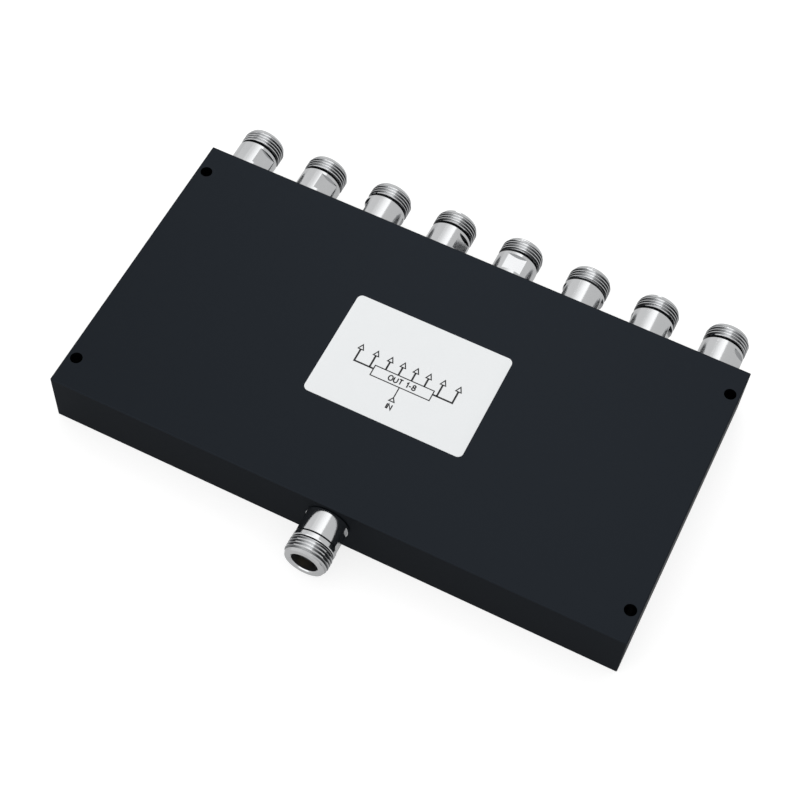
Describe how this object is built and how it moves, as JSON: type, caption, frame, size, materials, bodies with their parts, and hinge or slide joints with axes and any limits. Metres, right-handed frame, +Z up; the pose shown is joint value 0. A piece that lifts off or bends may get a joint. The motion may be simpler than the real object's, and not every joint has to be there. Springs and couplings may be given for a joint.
{
  "type": "rf power splitter",
  "caption": "Flat black milled case with a threaded coaxial input socket on one long side and a row of matching output sockets on the other; shares one radio signal between them.",
  "frame": {"origin": "middle of the case's underside", "axes": "+X along the row of outputs, +Y from the input towards the outputs, +Z up"},
  "size_m": [0.21, 0.1466, 0.0232],
  "materials": {
    "black_case": "satin black anodised",
    "black_steel": "blackened",
    "laminate": "woven glass laminate",
    "copper": "bare copper",
    "resistor_chip": "matte",
    "plated_steel": "zinc plated",
    "label_film": "semi-matte film",
    "nickel_plate": "bright nickel plate on brass",
    "white_insulator": "waxy",
    "gold_plate": "gold plate"
  },
  "bodies": {
    "root": {"housing": "black_case", "bottom_cover": "black_case", "cover_screws": "black_steel", "circuit_board": "laminate", "microstrip_tracks": "copper", "isolation_resistors": "resistor_chip", "board_screws": "plated_steel", "label": "label_film", "input_shell": "nickel_plate", "input_insulator": "white_insulator", "input_contact": "gold_plate", "output_1_shell": "nickel_plate", "output_1_insulator": "white_insulator", "output_1_contact": "gold_plate", "output_2_shell": "nickel_plate", "output_2_insulator": "white_insulator", "output_2_contact": "gold_plate", "output_3_shell": "nickel_plate", "output_3_insulator": "white_insulator", "output_3_contact": "gold_plate", "output_4_shell": "nickel_plate", "output_4_insulator": "white_insulator", "output_4_contact": "gold_plate", "output_5_shell": "nickel_plate", "output_5_insulator": "white_insulator", "output_5_contact": "gold_plate", "output_6_shell": "nickel_plate", "output_6_insulator": "white_insulator", "output_6_contact": "gold_plate", "output_7_shell": "nickel_plate", "output_7_insulator": "white_insulator", "output_7_contact": "gold_plate", "output_8_shell": "nickel_plate", "output_8_insulator": "white_insulator", "output_8_contact": "gold_plate"}
  },
  "joints": []
}
